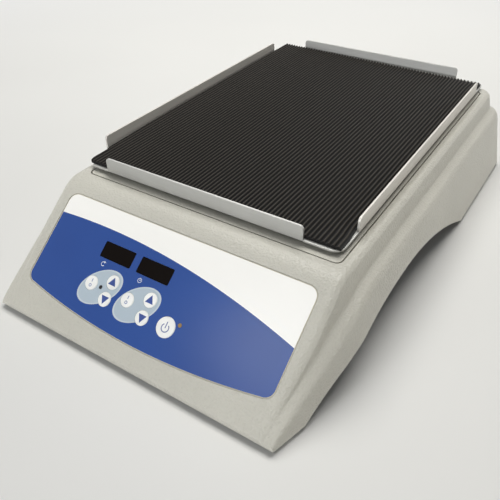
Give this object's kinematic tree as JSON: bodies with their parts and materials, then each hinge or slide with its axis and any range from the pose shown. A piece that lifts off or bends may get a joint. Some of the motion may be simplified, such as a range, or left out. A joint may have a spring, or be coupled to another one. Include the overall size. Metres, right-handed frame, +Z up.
{
  "type": "orbital shaker",
  "caption": "Benchtop orbital shaker: moulded case with a sloping keypad front, and a flanged aluminium tray with a ribbed rubber mat, carried on three cranks.",
  "frame": {"origin": "middle of the bounding box on the table under the feet, with the cranks at the angle the picture shows", "axes": "+X to the right as the user faces the keypad, +Y to the rear, +Z up"},
  "size_m": [0.262, 0.396, 0.0799],
  "materials": {
    "case_plastic": "fine pebble texture",
    "deck_plastic": "fine texture",
    "painted_pan": "dark grey powder coat",
    "foot_rubber": "matt",
    "zinc_screw": "zinc plated",
    "overlay_film": "printed film, white above and blue below",
    "dark_window": "smoked window",
    "key_plastic": "satin",
    "dark_lens": "clear over a dark diode",
    "amber_lens": "amber",
    "circuit_board": "green solder resist",
    "display_body": "matt",
    "black_plastic": "matt",
    "cast_aluminium": "as cast, turned seats",
    "bearing_steel": "ground",
    "shaft_steel": "ground",
    "pulley_plastic": "moulded",
    "balance_iron": "blacked",
    "tray_sheet": "brushed",
    "mat_rubber": "ribbed, matt",
    "belt_rubber": "matt",
    "pin_brass": "nickel plated",
    "lead_skin": "wire insulation"
  },
  "bodies": {
    "case": {"housing": "case_plastic", "deck_plate": "deck_plastic", "base_pan": "painted_pan", "rubber_feet": "foot_rubber", "foot_screws": "zinc_screw", "case_screws": "zinc_screw", "control_overlay": "overlay_film", "speed_window": "dark_window", "time_window": "dark_window", "running_light": "dark_lens", "standby_light": "amber_lens", "control_board": "circuit_board", "display_modules": "display_body", "key_switches": "black_plastic", "board_screws": "zinc_screw", "main_bearing_block": "cast_aluminium", "idler_bearing_blocks": "cast_aluminium", "block_screws": "zinc_screw", "shaft_bearing_outer_rings": "bearing_steel", "shaft_bearing_balls": "bearing_steel", "motor": "black_plastic", "motor_plate": "cast_aluminium", "motor_screws": "zinc_screw", "drive_belt": "belt_rubber", "power_inlet": "black_plastic", "inlet_pins": "pin_brass", "inlet_screws": "zinc_screw", "power_board": "circuit_board", "wiring": "lead_skin"},
    "main_crank": {"main_inner_rings": "bearing_steel", "main_shaft": "shaft_steel", "drive_pulley": "pulley_plastic", "counterweight": "balance_iron", "counterweight_screws": "zinc_screw", "main_crank_pin": "shaft_steel"},
    "shaking_table": {"pin_bearing_outer_rings": "bearing_steel", "pin_bearing_balls": "bearing_steel", "carriage": "cast_aluminium", "tray_posts": "cast_aluminium", "post_screws": "zinc_screw", "tray": "tray_sheet", "tray_screws": "zinc_screw", "ribbed_mat": "mat_rubber"},
    "motor_rotor": {"motor_shaft": "shaft_steel", "motor_pulley": "cast_aluminium"},
    "idler_a_crank_set": {"idler_a_inner_rings": "bearing_steel", "idler_a_shaft": "shaft_steel", "idler_a_crank": "cast_aluminium", "idler_a_pin": "shaft_steel"},
    "idler_b_crank_set": {"idler_b_inner_rings": "bearing_steel", "idler_b_shaft": "shaft_steel", "idler_b_crank": "cast_aluminium", "idler_b_pin": "shaft_steel"},
    "speed_power_button": {"speed_power_key": "key_plastic"},
    "speed_up_button": {"speed_up_key": "key_plastic"},
    "speed_down_button": {"speed_down_key": "key_plastic"},
    "time_power_button": {"time_power_key": "key_plastic"},
    "time_up_button": {"time_up_key": "key_plastic"},
    "time_down_button": {"time_down_key": "key_plastic"},
    "standby_button": {"standby_key": "key_plastic"}
  },
  "joints": [
    {"name": "drive_spin", "type": "hinge", "parent": "case", "child": "main_crank", "pos_m": [0, -0.02, 0.02], "axis": [0, 0, 1], "continuous": true},
    {"name": "tray_orbit", "type": "hinge", "parent": "main_crank", "child": "shaking_table", "pos_m": [-0.0067, -0.01663, 0.0515], "axis": [0, 0, 1], "continuous": true},
    {"name": "idler_a_spin", "type": "hinge", "parent": "case", "child": "idler_a_crank_set", "pos_m": [-0.066, 0.1, 0.02], "axis": [0, 0, 1], "continuous": true},
    {"name": "idler_b_spin", "type": "hinge", "parent": "case", "child": "idler_b_crank_set", "pos_m": [0.066, 0.1, 0.02], "axis": [0, 0, 1], "continuous": true},
    {"name": "motor_spin", "type": "hinge", "parent": "case", "child": "motor_rotor", "pos_m": [0, 0.08, 0.038], "axis": [0, 0, 1], "continuous": true},
    {"name": "speed_power_press", "type": "slide", "parent": "case", "child": "speed_power_button", "axis": [0, 0.6046, -0.7965], "range_m": [0, 0.0004], "stiffness_N_per_m": 400},
    {"name": "speed_up_press", "type": "slide", "parent": "case", "child": "speed_up_button", "axis": [0, 0.6046, -0.7965], "range_m": [0, 0.0004], "stiffness_N_per_m": 400},
    {"name": "speed_down_press", "type": "slide", "parent": "case", "child": "speed_down_button", "axis": [0, 0.6046, -0.7965], "range_m": [0, 0.0004], "stiffness_N_per_m": 400},
    {"name": "time_power_press", "type": "slide", "parent": "case", "child": "time_power_button", "axis": [0, 0.6046, -0.7965], "range_m": [0, 0.0004], "stiffness_N_per_m": 400},
    {"name": "time_up_press", "type": "slide", "parent": "case", "child": "time_up_button", "axis": [0, 0.6046, -0.7965], "range_m": [0, 0.0004], "stiffness_N_per_m": 400},
    {"name": "time_down_press", "type": "slide", "parent": "case", "child": "time_down_button", "axis": [0, 0.6046, -0.7965], "range_m": [0, 0.0004], "stiffness_N_per_m": 400},
    {"name": "standby_press", "type": "slide", "parent": "case", "child": "standby_button", "axis": [0, 0.6046, -0.7965], "range_m": [0, 0.0004], "stiffness_N_per_m": 400}
  ],
  "couplings": [
    {"joint": "tray_orbit", "follows": "drive_spin", "ratio": -1},
    {"joint": "idler_a_spin", "follows": "drive_spin", "ratio": 1},
    {"joint": "idler_b_spin", "follows": "drive_spin", "ratio": 1},
    {"joint": "motor_spin", "follows": "drive_spin", "ratio": 5}
  ]
}
